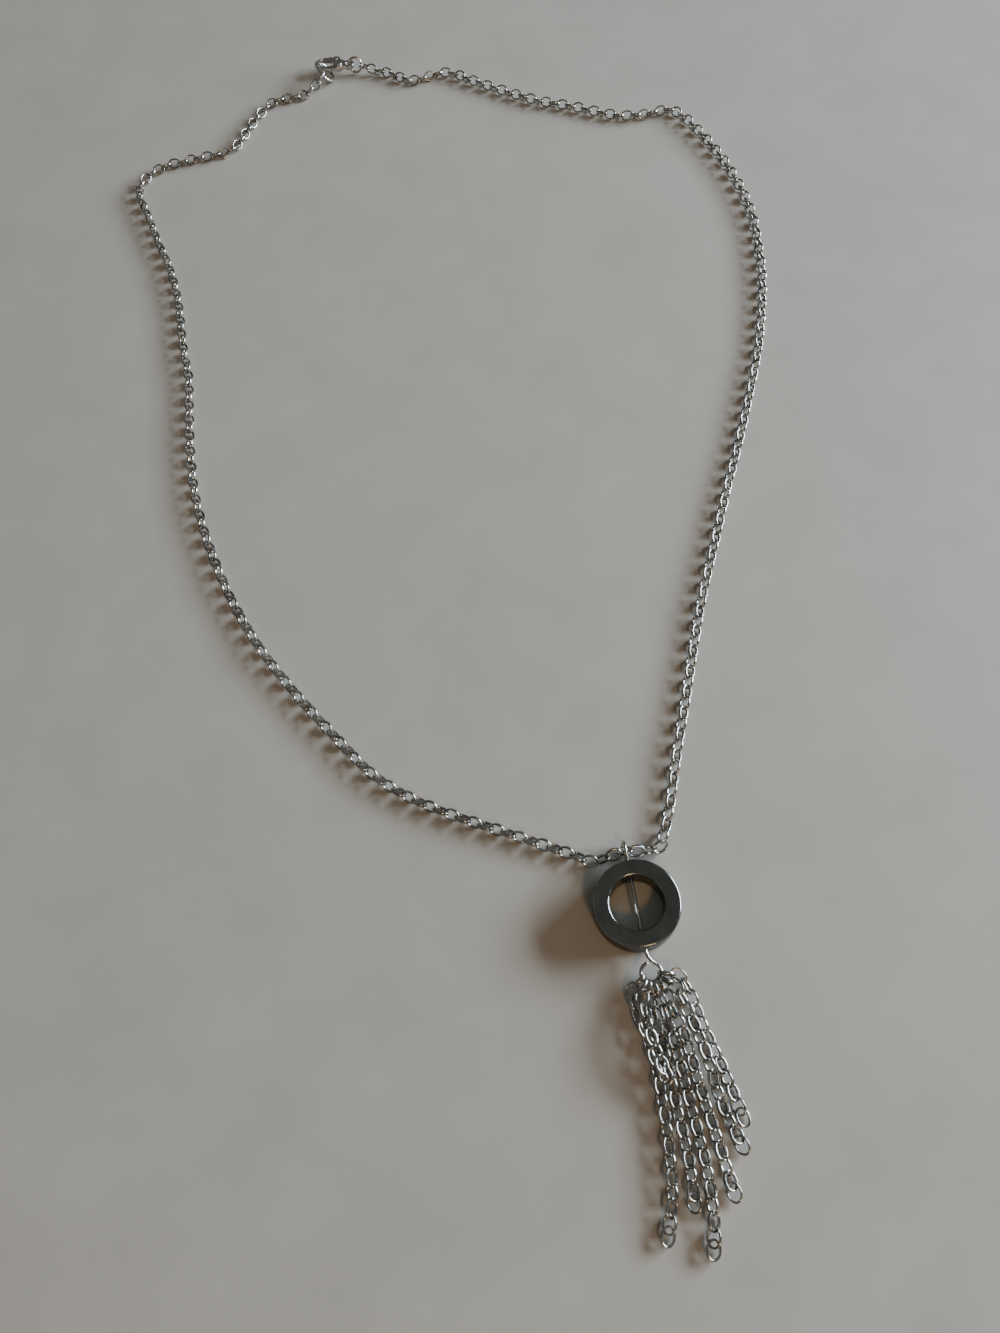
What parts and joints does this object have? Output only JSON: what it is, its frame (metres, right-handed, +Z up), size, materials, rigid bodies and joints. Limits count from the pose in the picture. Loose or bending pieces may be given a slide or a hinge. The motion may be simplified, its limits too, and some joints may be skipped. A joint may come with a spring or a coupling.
{
  "type": "tassel necklace",
  "caption": "Fine cable-chain necklace with a lobster clasp, a dark ring bead on an eye pin, and a tassel of loose chain strands hanging from the pin's hook, laid flat.",
  "frame": {"origin": "middle of the necklace's outline, on the surface that it lies on", "axes": "+Z up from the surface, +Y from the tassel towards the clasp, +X to the right seen from the tassel"},
  "size_m": [0.1408, 0.2729, 0.005],
  "materials": {
    "silver_tone_metal": "bright plated wire with fine wear",
    "dark_stone": "polished dark grey mineral with a metallic sheen"
  },
  "bodies": {
    "necklace": {"clasp_body": "silver_tone_metal", "hook_ring": "silver_tone_metal", "end_ring": "silver_tone_metal", "tail_ring": "silver_tone_metal", "end_link_left": "silver_tone_metal", "end_link_right": "silver_tone_metal", "chain_left": "silver_tone_metal", "chain_right": "silver_tone_metal", "chain_front": "silver_tone_metal", "ring_bead": "dark_stone", "eye_pin": "silver_tone_metal", "strand_1": "silver_tone_metal", "strand_2": "silver_tone_metal", "strand_3": "silver_tone_metal", "strand_4": "silver_tone_metal", "strand_5": "silver_tone_metal", "strand_6": "silver_tone_metal", "strand_7": "silver_tone_metal"},
    "lever": {"clasp_lever": "silver_tone_metal"}
  },
  "joints": [
    {"name": "lever_hinge", "type": "hinge", "parent": "necklace", "child": "lever", "pos_m": [-0.01837, 0.13462, 0.0021], "axis": [0, 0, 1], "range_deg": [0, 20], "stiffness_Nm_per_rad": 0.002, "springref_deg": -17.19}
  ]
}
